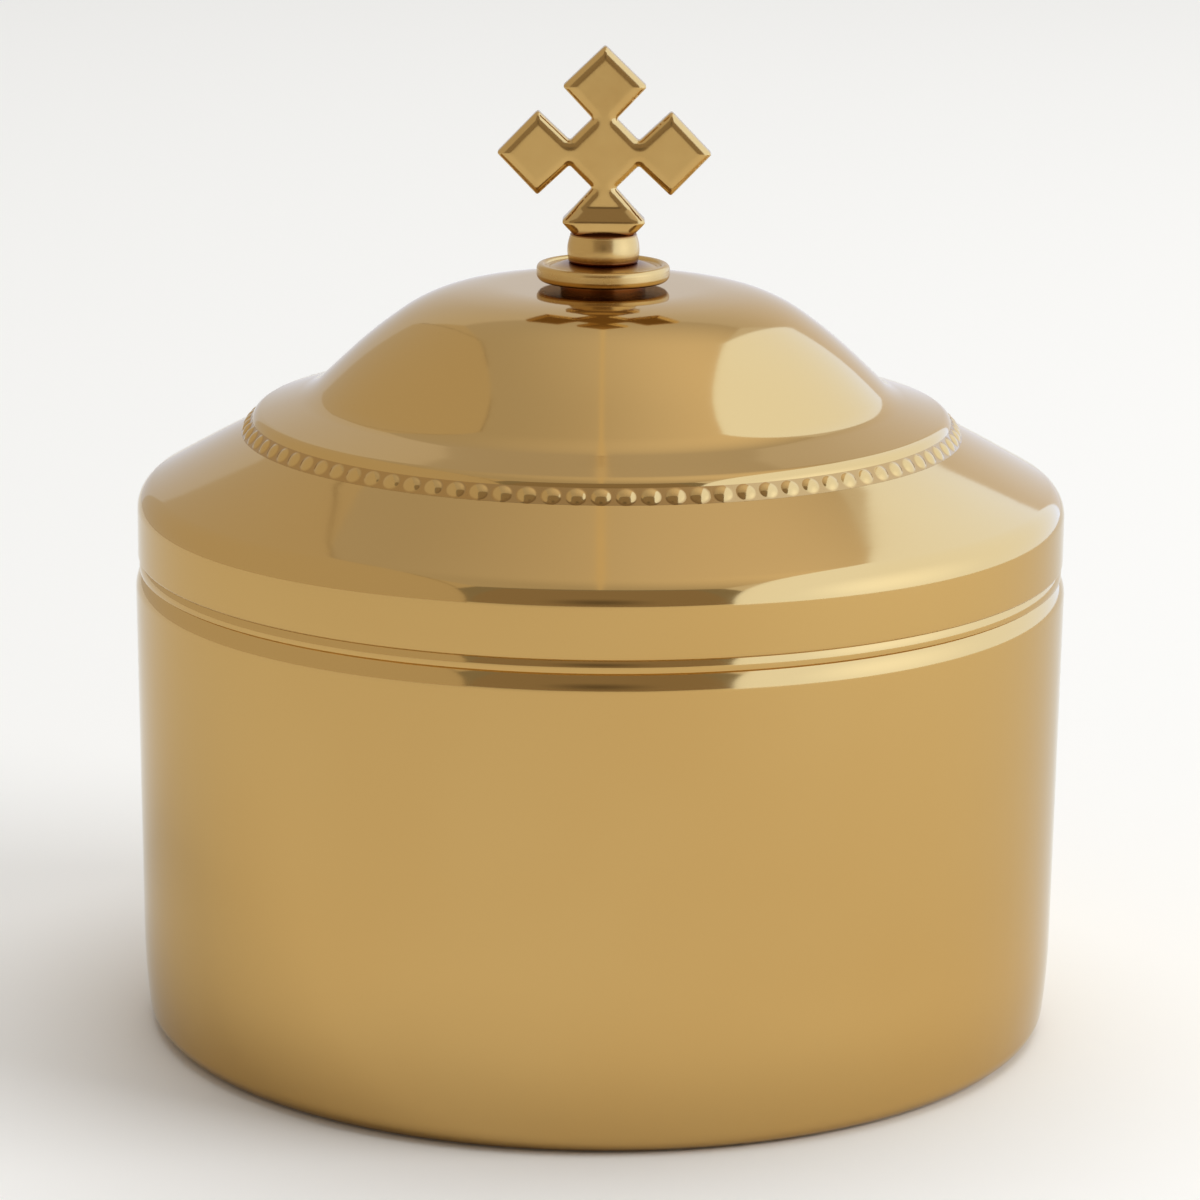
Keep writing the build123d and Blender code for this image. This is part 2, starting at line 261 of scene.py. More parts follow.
def plain_hole(pyx):
    return pyx.finial.stud_diameter / 2 + pyx.finial.hole_gap


def crown_top(pyx):
    return seat_height(pyx) + pyx.lid.skirt_height - lid_section(pyx, 0.0, 0.0).z


def ferrule_foot(pyx):
    return crown_top(pyx) + pyx.finial.seat_height


def cross_foot(pyx):
    return ferrule_foot(pyx) + pyx.finial.ferrule_height


# Half sections of turned and spun pieces

class Section:
    """Half section traced as points from lines and tangent arcs; slopes are angles below the level."""

    def __init__(self, r, z, slope=0.0):
        self.points = [(r, z)]
        self.slope = slope

    @property
    def r(self):
        return self.points[-1][0]

    @property
    def z(self):
        return self.points[-1][1]

    def line_to(self, r, z):
        start_r, start_z = self.points[-1]
        steps = max(1, ceil(hypot(r - start_r, z - start_z) / LINE_STEP))
        for k in range(1, steps + 1):
            t = k / steps
            self.points.append((start_r + (r - start_r) * t, start_z + (z - start_z) * t))

    def run(self, distance):
        """Straight on, along the present slope."""
        self.line_to(self.r + distance * cos(self.slope), self.z - distance * sin(self.slope))

    def bend(self, radius, slope):
        """Tangent arc to a new slope: round where the slope grows, and hollow where it lessens."""
        side = radius if slope > self.slope else -radius
        centre_r = self.r - side * sin(self.slope)
        centre_z = self.z - side * cos(self.slope)
        turn = slope - self.slope
        steps = max(3, ceil(abs(degrees(turn)) / ARC_STEP), ceil(abs(turn) * radius / LINE_STEP))
        for k in range(1, steps + 1):
            s = self.slope + turn * k / steps
            self.points.append((centre_r + side * sin(s), centre_z + side * cos(s)))
        self.slope = slope


def arc_points(first, middle, last):
    """Points along the arc through three points, without the first one."""
    (ax, ay), (bx, by), (cx, cy) = first, middle, last
    d = 2 * (ax * (by - cy) + bx * (cy - ay) + cx * (ay - by))
    a2, b2, c2 = ax * ax + ay * ay, bx * bx + by * by, cx * cx + cy * cy
    ux = (a2 * (by - cy) + b2 * (cy - ay) + c2 * (ay - by)) / d
    uy = (a2 * (cx - bx) + b2 * (ax - cx) + c2 * (bx - ax)) / d
    start = atan2(ay - uy, ax - ux)
    turn = atan2(cy - uy, cx - ux) - start
    turn = (turn + pi) % (2 * pi) - pi
    radius = hypot(ax - ux, ay - uy)
    steps = max(6, ceil(abs(degrees(turn)) / ARC_STEP))
    return [
        (ux + radius * cos(start + turn * k / steps), uy + radius * sin(start + turn * k / steps))
        for k in range(1, steps + 1)
    ]


def foot_of_cup(section, cup, inset):
    """Swept-in foot, standing ring and raised underside, as far as the axis, offset inwards by inset."""
    recess_slope = acos(1 - cup.recess / (2 * cup.blend_radius))
    section.slope = pi / 2 + cup.draft
    section.bend(cup.sweep_radius - inset, pi / 2 + cup.sweep_lean)
    section.bend(cup.foot_radius - inset, pi)
    section.run(cup.ring_width)
    section.bend(cup.blend_radius - inset, pi + recess_slope)
    section.bend(cup.blend_radius + inset, pi)
    section.line_to(0.0, section.z)


def crown_section(pyx, top, inset):
    """Crown of the lid, from the stud's hole out to the start of the tier, offset inwards by inset."""
    lid = pyx.lid
    section = Section(plain_hole(pyx), top - inset)
    section.run(lid.flat_radius - plain_hole(pyx))
    section.bend(lid.top_radius - inset, lid.top_slope)
    section.bend(lid.bend_radius - inset, lid.bend_slope)
    section.bend(lid.side_radius - inset, lid.side_slope)
    section.run(lid.side_length)
    section.bend(lid.cove_radius + inset, lid.flare_slope)
    section.run(lid.flare_length)
    section.bend(lid.edge_radius - inset, lid.edge_slope)
    section.bend(lid.tuck_radius + lid.wall - inset, pi / 2)
    section.run(lid.edge_drop)
    section.bend(lid.corner_radius + inset, lid.tier_slope)
    return section


def lid_section(pyx, top, inset):
    """Whole lid down to the end of its shoulder. The tier curves from crown to shoulder."""
    lid = pyx.lid
    section = crown_section(pyx, top, inset)
    start = section.r + inset * sin(lid.tier_slope)
    end = lid_radius(pyx) - lid.shoulder_radius * (1 - sin(lid.shoulder_slope))
    tier_radius = (end - start) / (sin(lid.shoulder_slope) - sin(lid.tier_slope))
    section.bend(tier_radius - inset, lid.shoulder_slope)
    section.bend(lid.shoulder_radius - inset, pi / 2)
    return section


# Meshes

def linked(name, data):
    """Object with the data, in the scene."""
    thing = bpy.data.objects.new(name, data)
    bpy.context.scene.collection.objects.link(thing)
    return thing


def new_piece(name, vertices, faces, finishes, face_finish=None, crease=radians(24)):
    """Mesh object with smooth shading, and sharp edges where faces meet at more than the crease angle."""
    mesh = bpy.data.meshes.new(name)
    mesh.from_pydata(vertices, [], faces)
    for material in finishes:
        mesh.materials.append(material)
    if face_finish:
        mesh.polygons.foreach_set("material_index", face_finish)
    edit = bmesh.new()
    edit.from_mesh(mesh)
    bmesh.ops.recalc_face_normals(edit, faces=edit.faces)
    edit.to_mesh(mesh)
    edit.free()
    mesh.shade_smooth()
    mesh.set_sharp_from_angle(angle=crease)
    return linked(name, mesh)


def spun_surface(loop, around=ROUND):
    """Vertices and faces of a closed half section turned about the upright axis, row by row."""
    vertices, rows = [], []
    for r, z in loop:
        start = len(vertices)
        if r < TINY:
            vertices.append((0.0, 0.0, z))
            rows.append([start] * around)
            continue
        for k in range(around):
            a = 2 * pi * k / around
            vertices.append((r * cos(a), r * sin(a), z))
        rows.append(list(range(start, start + around)))
    faces, owners = [], []
    for i, row in enumerate(rows):
        below = rows[(i + 1) % len(rows)]
        for k in range(around):
            n = (k + 1) % around
            corners = []
            for corner in (row[k], row[n], below[n], below[k]):
                if corner not in corners:
                    corners.append(corner)
            if len(corners) > 2:
                faces.append(corners)
                owners.append(i)
    return vertices, faces, owners


def turned_piece(name, loop, finishes, inside_from=None):
    """Turned or spun piece; from row inside_from on, its faces take the second finish."""
    vertices, faces, owners = spun_surface(loop)
    face_finish = None
    if inside_from is not None:
        face_finish = [1 if i >= inside_from else 0 for i in owners]
    return new_piece(name, vertices, faces, finishes, face_finish)


def settle(piece, body, slot, *nodes):
    """Lets the piece move with its body and stand for the CAD nodes named."""
    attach(piece, body)
    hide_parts(*nodes)


def fade(value, full, none):
    """Goes from 1 where the value is full to 0 where it is none."""
    return max(0.0, min(1.0, (value - none) / (full - none)))


def tarnish_and_painted_shade(piece, depths):
    """Marks how deep in a corner each vertex lies, from 0 to 1, for brown that is partly tarnish and partly
    painted shade.
    """
    layer = piece.data.attributes.new("recess", "FLOAT", "POINT")
    layer.data.foreach_set("value", depths)


def profile_places(piece):
    """Distance from the axis and height of each vertex."""
    return [(hypot(vertex.co.x, vertex.co.y), vertex.co.z) for vertex in piece.data.vertices]


# Materials

def add(tree, kind, sockets=None, **settings):
    """Adds a node with its settings. A socket takes a number, a colour or the output that feeds it."""
    node = tree.nodes.new(kind)
    for name, value in settings.items():
        setattr(node, name, value)
    for name, value in (sockets or {}).items():
        if isinstance(value, bpy.types.NodeSocket):
            tree.links.new(value, node.inputs[name])
        else:
            node.inputs[name].default_value = value
    return node


def rgba(rgb):
    return tuple(rgb) + (1.0,)


def emptied(owner):
    """Node tree of a material or a world, without its nodes."""
    owner.use_nodes = True
    owner.node_tree.nodes.clear()
    return owner.node_tree


def noise(tree, place, width, detail=2.0):
    """Noise from 0 to 1 with features about as wide as said."""
    sockets = {"Vector": place, "Scale": 1 / width, "Detail": detail}
    return add(tree, "ShaderNodeTexNoise", sockets).outputs["Fac"]


def spread(tree, value, low, high, first, last):
    """Takes values from low to high over to first to last."""
    sockets = {"Value": value, "From Min": low, "From Max": high, "To Min": first, "To Max": last}
    return add(tree, "ShaderNodeMapRange", sockets).outputs["Result"]


def mixed(tree, share, first, second):
    """Colour between two others."""
    sockets = {"Factor": share, "A": first, "B": second}
    return add(tree, "ShaderNodeMix", sockets, data_type="RGBA").outputs["Result"]


def bumped(tree, height, depth, **over):
    """Normal of a surface with so deep a relief, over another normal where one is given."""
    sockets = {"Height": height, "Strength": 1.0, "Distance": depth, **over}
    return add(tree, "ShaderNodeBump", sockets).outputs["Normal"]


def ring_place(tree, place):
    """Place by distance from the axis and height, so that noise on it runs in rings."""
    flat = add(tree, "ShaderNodeVectorMath", {0: place, 1: (1, 1, 0)}, operation="MULTIPLY")
    radius = add(tree, "ShaderNodeVectorMath", {0: flat.outputs["Vector"]}, operation="LENGTH")
    height = add(tree, "ShaderNodeSeparateXYZ", {0: place})
    return add(tree, "ShaderNodeCombineXYZ", {
        "X": radius.outputs["Value"], "Z": height.outputs["Z"]}).outputs["Vector"]


def start_metal(name):
    """Material without a shader yet, with its tree and the place on the piece."""
    material = bpy.data.materials.new(name)
    tree = emptied(material)
    return material, tree, add(tree, "ShaderNodeTexCoord").outputs["Object"]


def end_metal(tree, tint, rough, normal, edge=(1.0, 1.0, 1.0)):
    """Metal shader, with the tint of its face and of its edge, where it turns away from the eye."""
    shader = add(tree, "ShaderNodeBsdfPrincipled", {
        "Metallic": 1.0, "Base Color": tint, "Specular Tint": rgba(edge), "Roughness": rough,
        "Normal": normal})
    add(tree, "ShaderNodeOutputMaterial", {"Surface": shader.outputs["BSDF"]})


def spun_gold(finishes, name, polish):
    """Gold plate over spun brass, buffed to a mirror.

    The eye gets clear reflections with slightly wavy edges, where the spinning tool left the metal uneven,
    a faint haze of hand marks, and the finest of rings round the axis."""
    material, tree, place = start_metal(name)
    # Hand marks are about 14 mm wide, and the plate's own shade drifts over about 30 mm.
    marks = noise(tree, place, 14 * MM, 4.0)
    drift = noise(tree, place, 30 * MM)
    rough = spread(tree, marks, 0.35, 0.75, polish, polish + 0.045)
    share = spread(tree, drift, 0.3, 0.8, 0.0, 0.3)
    tint = mixed(tree, share, rgba(finishes.gold), rgba(finishes.gold_warm))
    # Tool waves are about 11 mm from crest to crest. The buffing rings are drawn 0.5 mm apart, coarser
    # than the real ones, so that they show.
    waves = noise(tree, place, 11 * MM, 1.0)
    rings = noise(tree, ring_place(tree, place), 0.5 * MM)
    wavy = bumped(tree, waves, 0.022 * MM)
    ringed = bumped(tree, rings, 0.0006 * MM, Normal=wavy)
    end_metal(tree, tint, rough, ringed, finishes.gold_edge)
    return material


def satin_gold(finishes, name, polish):
    """Gold plate on metal left as the spinning tool made it, inside the cup and the lid.

    The eye gets a soft shine with faint rings round the axis."""
    material, tree, place = start_metal(name)
    # Tool rings are drawn 0.7 mm apart, coarser than the real ones, so that they show.
    rings = noise(tree, ring_place(tree, place), 0.7 * MM, 3.0)
    blotches = noise(tree, place, 9 * MM, 5.0)
    share = spread(tree, blotches, 0.3, 0.75, 0.0, 0.2)
    tint = mixed(tree, share, rgba(finishes.gold_satin), rgba(finishes.gold_warm))
    rough = spread(tree, rings, 0.3, 0.7, polish - 0.02, polish + 0.03)
    ringed = bumped(tree, rings, 0.004 * MM)
    end_metal(tree, tint, rough, ringed, finishes.gold_edge)
    return material


def cast_gold(finishes, name, polish):
    """Gold plate over cast, stamped or turned brass, polished by hand.

    The eye gets a bright face with softly dimpled reflections, and brown corners: tarnish where the
    polishing wheel doesn't reach, and painted shade."""
    material, tree, place = start_metal(name)
    # Casting dimples are about 1.6 mm wide, and polishing haze about 4 mm.
    dimples = noise(tree, place, 1.6 * MM)
    haze = noise(tree, place, 4 * MM, 4.0)
    share = spread(tree, haze, 0.3, 0.8, 0.0, 0.35)
    tint = mixed(tree, share, rgba(finishes.gold), rgba(finishes.gold_warm))
    # Brown in the corners is partly tarnish and partly painted shade.
    depth = add(tree, "ShaderNodeAttribute", attribute_name="recess").outputs["Fac"]
    tint = mixed(tree, depth, tint, rgba(finishes.gold_recess_tarnish_and_shade))
    rough = spread(tree, haze, 0.35, 0.75, polish, polish + 0.06)
    dimpled = bumped(tree, dimples, 0.006 * MM)
    end_metal(tree, tint, rough, dimpled, finishes.gold_edge)
    return material


def turned_brass(finishes, name, polish):
    """Plain turned brass, dulled by handling, for stud, washer and nut.

    The eye gets a soft yellow shine with fine tool lines and darker, duller blotches."""
    material, tree, place = start_metal(name)
    # Tool lines are drawn 0.15 mm apart, and blotches are about 1.5 mm wide.
    squeezed = add(tree, "ShaderNodeVectorMath", {0: place, 1: (0.1, 0.1, 1.0)}, operation="MULTIPLY")
    lines = noise(tree, squeezed.outputs["Vector"], 0.15 * MM)
    blotches = noise(tree, place, 1.5 * MM, 4.0)
    share = spread(tree, blotches, 0.35, 0.7, 0.0, 0.8)
    tint = mixed(tree, share, rgba(finishes.brass), rgba(finishes.brass_dull))
    rough = spread(tree, blotches, 0.35, 0.7, polish, polish + 0.18)
    end_metal(tree, tint, rough, bumped(tree, lines, 0.004 * MM))
    return material


def finish(pyx, name):
    """Material by its name, made the first time it is asked for."""
    made = bpy.data.materials.get(name)
    if made:
        return made
    finishes = pyx.finishes
    maker, polish = {
        "gold_plate_spun_polished": (spun_gold, finishes.polish),
        "gold_plate_spun_satin": (satin_gold, finishes.satin),
        "gold_plate_beaded_wire": (cast_gold, finishes.bead_polish),
        "gold_plate_cast_polished": (cast_gold, finishes.cross_polish),
        "gold_plate_turned_soft": (cast_gold, finishes.turned_polish),
        "brass_turned_dull": (turned_brass, finishes.brass_polish),
    }[name]
    return maker(finishes, name, polish)


def spun_finishes(pyx):
    """Outside and inside of a spun piece."""
    return [finish(pyx, "gold_plate_spun_polished"), finish(pyx, "gold_plate_spun_satin")]


# Operators

class PYX_OT_cup(Operator):
    """Make the spun cup with its shoulder, drafted wall and recessed foot"""
    bl_idname = "pyx.cup"
    bl_label = "Cup"
    bl_options = {"REGISTER", "UNDO"}

    def execute(self, context):
        pyx = context.scene.pyx
        cup = pyx.cup
        radius = cup_radius(pyx)
        shoulder_drop = cup.shoulder_radius * (sin(cup.shoulder_lean) + sin(cup.draft))
        foot_drop = cup.sweep_radius * (sin(cup.sweep_lean) - sin(cup.draft))
        foot_drop += cup.foot_radius * (1 - sin(cup.sweep_lean))
        wall_length = (cup.height - shoulder_drop - foot_drop) / cos(cup.draft)
        shoulder_top = radius - cup.shoulder_radius * (1 - cos(cup.shoulder_lean))
        outside = Section(shoulder_top, cup.height, pi / 2 - cup.shoulder_lean)
        outside.bend(cup.shoulder_radius, pi / 2 + cup.draft)
        outside.run(wall_length)
        inside = Section(radius - cup.wall, cup.height, pi / 2)
        inside.run(pyx.mouth_ring.sleeve_depth)
        inside.line_to(outside.r - cup.wall * cos(cup.draft), outside.z + cup.wall * sin(cup.draft))
        foot_of_cup(outside, cup, 0.0)
        foot_of_cup(inside, cup, cup.wall)
        loop = outside.points + inside.points[::-1]
        piece = turned_piece("cup_spun", loop, spun_finishes(pyx), len(outside.points))
        settle(piece, "cup", "gold_plate", "body_cup")
        return {"FINISHED"}


class PYX_OT_mouth_ring(Operator):
    """Make the turned ring in the cup's mouth, with the bead that the lid stands on"""
    bl_idname = "pyx.mouth_ring"
    bl_label = "Mouth ring"
    bl_options = {"REGISTER", "UNDO"}

    def execute(self, context):
        pyx = context.scene.pyx
        ring = pyx.mouth_ring
        seat = seat_height(pyx)
        upper = lid_radius(pyx) - pyx.lid.wall - ring.clearance
        inner = upper - ring.sleeve_wall
        lower = cup_radius(pyx) - pyx.cup.wall - ring.solder_gap
        undercut = asin(ring.bead_height / ring.bead_radius - sin(ring.bead_lean))
        bead_top = cup_radius(pyx) - ring.bead_setback - ring.bead_radius * (1 - cos(ring.bead_lean))
        section = Section(inner, seat + ring.sleeve_rise)
        section.run(upper - ring.lead_in - inner)
        section.bend(ring.lead_in, pi / 2)
        section.line_to(upper, seat)
        section.line_to(bead_top, seat)
        section.slope = pi / 2 - ring.bead_lean
        section.bend(ring.bead_radius, pi / 2 + undercut)
        section.line_to(lower, section.z)
        section.line_to(lower, pyx.cup.height - ring.sleeve_depth)
        section.line_to(inner, section.z)
        inside_from = len(section.points) - 1
        section.line_to(inner, seat + ring.sleeve_rise)
        piece = turned_piece("mouth_ring_turned", section.points[:-1], spun_finishes(pyx), inside_from)
        settle(piece, "cup", "gold_plate", "mouth_ring")
        return {"FINISHED"}


class PYX_OT_lid(Operator):
    """Make the spun lid with its crown, tier, shoulder and skirt"""
    bl_idname = "pyx.lid"
    bl_label = "Lid"
    bl_options = {"REGISTER", "UNDO"}

    def execute(self, context):
        pyx = context.scene.pyx
        lid = pyx.lid
        seat = seat_height(pyx)
        top = crown_top(pyx)
        radius = lid_radius(pyx)
        outside = lid_section(pyx, top, 0.0)
        outside.line_to(radius, seat + lid.skirt_edge)
        outside.bend(lid.skirt_edge, pi)
        outside.line_to(radius - lid.wall, seat)
        inside = lid_section(pyx, top, lid.wall)
        inside.line_to(radius - lid.wall, seat)
        loop = outside.points + inside.points[-2::-1]
        piece = turned_piece("lid_spun", loop, spun_finishes(pyx), len(outside.points) - 1)
        settle(piece, "lid", "gold_plate", "lid_shell")
        return {"FINISHED"}


class PYX_OT_beads(Operator):
    """Make the band of low beads on the step between crown and tier"""
    bl_idname = "pyx.beads"
    bl_label = "Row of beads"
    bl_options = {"REGISTER", "UNDO"}

    # Steps along a bead's share of the row and across the band
    along = 22
    across = 16

    def execute(self, context):
        pyx = context.scene.pyx
        beads, lid = pyx.beads, pyx.lid
        gap = pyx.mouth_ring.solder_gap
        tier = crown_section(pyx, crown_top(pyx), 0.0)
        face = tier.r - lid.corner_radius * (1 - sin(lid.tier_slope))
        # The band's section has its upper edge on the rounding of the crown's edge, its outer edge on the
        # tier and, hidden, the corner of the lid that it fills.
        rounding = lid.tuck_radius + lid.wall
        rise = beads.band_rise - lid.corner_radius * cos(lid.tier_slope) - lid.edge_drop
        upper = Vector((face - rounding + sqrt(rounding ** 2 - rise ** 2), tier.z + beads.band_rise))
        reach = face + gap + beads.band_reach
        outer = Vector((reach, tier.z - (reach - tier.r) * tan(lid.tier_slope)))
        corner = Vector((tier.r, tier.z + gap))
        down = outer - upper
        out = Vector((-down.y, down.x)).normalized()
        pitch = 2 * pi * (upper.x + outer.x) / 2 / beads.count
        steps, row = beads.count * self.along, self.across + 2
        vertices, depths = [], []
        for i in range(steps):
            a = 2 * pi * i / steps - pi / 2
            turn = i / self.along
            u = abs(turn - round(turn)) * pitch / (beads.bead_length / 2)
            for k in range(row):
                v = (2 * k / self.across - 1) / beads.bead_share
                dome = max(0.0, 1 - u * u - v * v)
                place = upper + down * k / self.across + out * beads.relief * dome
                if k > self.across:
                    place = corner
                vertices.append((place.x * cos(a), place.x * sin(a), place.y))
                # Painted shade and tarnish: brown where the band lies low between the beads.
                depths.append(beads.tarnish_and_painted_shade * fade(dome, 0.0, beads.tarnish_and_shade_height))
        faces = []
        for i in range(steps):
            for k in range(row):
                n, m = (i + 1) % steps, (k + 1) % row
                faces.append((i * row + k, n * row + k, n * row + m, i * row + m))
        gold = [finish(pyx, "gold_plate_beaded_wire")]
        piece = new_piece("bead_row", vertices, faces, gold, crease=radians(70))
        tarnish_and_painted_shade(piece, depths)
        settle(piece, "lid", "gold_plate", "beaded_ring")
        return {"FINISHED"}


class PYX_OT_finial_foot(Operator):
    """Make the turned flange and the barrel-shaped collar under the cross"""
    bl_idname = "pyx.finial_foot"
    bl_label = "Flange and ferrule"
    bl_options = {"REGISTER", "UNDO"}

    # Brown corners, partly tarnish and partly painted shade: how far out of the corner the brown is full,
    # and where it ends
    over_lid = (0.5 * MM, 0.9 * MM)
    round_seat = (0.0, 0.6 * MM)
    over_seat = (0.25 * MM, 0.6 * MM)
    under_cross = (0.05 * MM, 0.3 * MM)

    def execute(self, context):
        pyx = context.scene.pyx
        gold = [finish(pyx, "gold_plate_turned_soft")]
        lid_top, foot, top = crown_top(pyx), ferrule_foot(pyx), cross_foot(pyx)
        seat = pyx.finial.seat_radius
        flange = turned_piece("flange_turned", self.flange(pyx), gold)
        tarnish_and_painted_shade(flange, [
            max(fade(z - lid_top, *self.over_lid), fade(r - seat, *self.round_seat))
            for r, z in profile_places(flange)])
        settle(flange, "lid", "gold_plate", "finial_flange")
        ferrule = turned_piece("ferrule_turned", self.ferrule(pyx), gold)
        tarnish_and_painted_shade(ferrule, [
            max(fade(z - foot, *self.over_seat), fade(top - z, *self.under_cross))
            for r, z in profile_places(ferrule)])
        settle(ferrule, "lid", "gold_plate", "finial_ferrule")
        return {"FINISHED"}

    @staticmethod
    def flange(pyx):
        finial = pyx.finial
        top, hole = crown_top(pyx), plain_hole(pyx)
        edge_centre = finial.flange_radius - finial.edge_radius
        edge_middle = top + finial.edge_height
        section = Section(hole, ferrule_foot(pyx))
        section.line_to(finial.seat_radius, ferrule_foot(pyx))
        section.line_to(finial.disc_radius, top + finial.disc_height)
        section.line_to(finial.groove_radius, top + finial.groove_height)
        section.slope = finial.edge_start
        section.line_to(
            edge_centre + finial.edge_radius * sin(section.slope),
            edge_middle + finial.edge_radius * cos(section.slope))
        section.bend(finial.edge_radius, pi / 2)
        section.run(finial.edge_wall)
        section.bend(finial.belly_radius, finial.belly_slope)
        section.line_to(finial.foot_radius, section.z)
        section.line_to(finial.foot_radius, top)
        section.line_to(hole, top)
        return section.points

    @staticmethod
    def ferrule(pyx):
        finial = pyx.finial
        foot, top, hole = ferrule_foot(pyx), cross_foot(pyx), plain_hole(pyx)
        middle = (foot + top) / 2
        soft = finial.ferrule_edge
        barrel = [(finial.ferrule_foot, foot)]
        barrel += arc_points(barrel[0], (finial.ferrule_middle, middle), (finial.ferrule_top, top))
        sides = [p for p in barrel if foot + soft <= p[1] <= top - soft]
        low, high = sides[0], sides[-1]
        start, end = (low[0] - soft, foot), (high[0] - soft, top)
        bulge = soft * (1 - cos(pi / 4))
        low_end = arc_points(start, (low[0] - bulge, foot + bulge), low)
        high_end = arc_points(high, (high[0] - bulge, top - bulge), end)
        return [(hole, foot), start] + low_end + sides[1:] + high_end + [(hole, top)]


class PYX_OT_cross(Operator):
    """Make the cast cross: a plate with pillowed faces, whose lower arm swells to take the stud"""
    bl_idname = "pyx.cross"
    bl_label = "Cross"
    bl_options = {"REGISTER", "UNDO"}

    # Spacing of the mesh, and the brown over the ferrule, partly tarnish and partly painted shade: how high
    # it is full, and where it ends
    grid = 0.17 * MM
    over_ferrule = (0.1 * MM, 0.45 * MM)

    def execute(self, context):
        pyx = context.scene.pyx
        piece = self.plate(pyx, [finish(pyx, "gold_plate_cast_polished")])
        foot = cross_foot(pyx)
        tarnish_and_painted_shade(piece, [fade(z - foot, *self.over_ferrule) for r, z in profile_places(piece)])
        settle(piece, "lid", "gold_plate", "finial_cross")
        return {"FINISHED"}

    @staticmethod
    def outline(cross):
        """Corners of the cross seen from the front, round from the right arm, each with its rounding."""
        soft = cross.tip_radius
        grow = soft * (sqrt(2) - 1)
        tip, half = cross.reach + grow, cross.half_width + grow
        foot, foot_half = cross.centre_height, cross.foot_half_width
        corners = []
        for turn in range(4):
            lower = turn == 3
            wide = foot - cross.lower_corner_height if lower else cross.corner_reach
            # The neck is where the kite's inner side meets the middle square's side.
            slope = half / (wide - cross.root)
            x = (cross.half_diagonal + slope * cross.root) / (1 + slope)
            neck = cross.half_diagonal - x
            end = [(tip, 0.0, soft)]
            if lower:
                end = [(foot, -foot_half, 0.0), (foot, foot_half, 0.0)]
            arm = [(x, -neck, soft), (wide, -half, soft)] + end + [(wide, half, soft), (x, neck, soft)]
            c, s = cos(turn * pi / 2), sin(turn * pi / 2)
            corners += [(Vector((c * u - s * v, s * u + c * v)), rounding) for u, v, rounding in arm]
        return corners

    @staticmethod
    def softened(corners, step):
        """Closed line of points along the outline, with its corners rounded off."""
        stretches = []
        count = len(corners)
        for i, (here, radius) in enumerate(corners):
            before, after = corners[i - 1][0], corners[(i + 1) % count][0]
            back, on = (before - here).normalized(), (after - here).normalized()
            half = acos(max(-1.0, min(1.0, back.dot(on)))) / 2
            reach = radius / max(0.2, tan(half))
            start, end = here + back * reach, here + on * reach
            turns = [k / 6 for k in range(7)] if radius else [0.0]
            stretches.append([
                start * (1 - t) ** 2 + here * (2 * t * (1 - t)) + end * t * t for t in turns])
        points = []
        for i, stretch in enumerate(stretches):
            gap = stretches[(i + 1) % count][0] - stretch[-1]
            pieces = max(1, ceil(gap.length / step))
            points += stretch + [stretch[-1] + gap * k / pieces for k in range(1, pieces)]
        return points

    @staticmethod
    def half_depth(cross, height):
        """Half the thickness of the cross at a height above its foot."""
        plate, corner = cross.thickness / 2, cross.lower_corner_height
        if height >= corner:
            start, end = plate, cross.swell_depth
            t = max(0.0, cross.swell_top - height) / (cross.swell_top - corner)
        else:
            start, end = cross.swell_foot_depth, cross.swell_depth
            t = height / corner
        # The slope comes in and goes out over the first and last fifth of the way.
        soft = 0.2
        if t < soft:
            t = t * t / (2 * soft * (1 - soft))
        elif t > 1 - soft:
            t = 1 - (1 - t) ** 2 / (2 * soft * (1 - soft))
        else:
            t = (t - soft / 2) / (1 - soft)
        return start + (end - start) * t

    def plate(self, pyx, gold):
        cross = pyx.cross
        line = self.softened(self.outline(cross), self.grid)
        count = len(line)
        sides = [(line[i], line[(i + 1) % count]) for i in range(count)]
        bottom = TINY - cross.centre_height
        walls = [(a, b) for a, b in sides if max(a.y, b.y) > bottom]

        def inside(p):
            hit = False
            for a, b in sides:
                if (a.y > p.y) != (b.y > p.y) and p.x < a.x + (p.y - a.y) * (b.x - a.x) / (b.y - a.y):
                    hit = not hit
            return hit

        def depth(p):
            """Distance from the outline, other than its level foot."""
            near = []
            for a, b in walls:
                run = b - a
                t = max(0.0, min(1.0, (p - a).dot(run) / run.length_squared))
                near.append((p - a - run * t).length)
            return min(near)

        points, depths = list(line), [depth(p) if p.y < bottom else 0.0 for p in line]
        steps = ceil(cross.reach / self.grid)
        margin = 0.45 * self.grid
        for i in range(-steps, steps + 1):
            for k in range(-steps, steps + 1):
                p = Vector((i * self.grid, k * self.grid))
                if p.y > bottom + margin and inside(p):
                    d = depth(p)
                    if d > margin:
                        points.append(p)
                        depths.append(d)
        ring = [(i, (i + 1) % count) for i in range(count)]
        whole = [list(range(count))]
        flat, _, triangles, origin, _, _ = delaunay_2d_cdt(points, ring, whole, 1, 0.01 * TINY)
        bevel = (cross.thickness - cross.edge_thickness) / 2
        centre = cross_foot(pyx) + cross.centre_height
        front, back = [], []
        for p, source in zip(flat, origin):
            d = depths[source[0]] if source else depth(p)
            rest = max(0.0, 1 - d / cross.pillow)
            full = self.half_depth(cross, p.y + cross.centre_height)
            half = full - bevel * (1 - sqrt(1 - rest * rest))
            front.append((p.x, -half, centre + p.y))
            back.append((p.x, half, centre + p.y))
        total = len(flat)
        index = {source: i for i, sources in enumerate(origin) for source in sources}
        faces = [tuple(t) for t in triangles]
        faces += [tuple(total + i for i in reversed(t)) for t in triangles]
        for a, b in ring:
            a, b = index[a], index[b]
            faces.append((b, a, total + a, total + b))
        return new_piece("cross_cast", front + back, faces, gold, crease=radians(32))


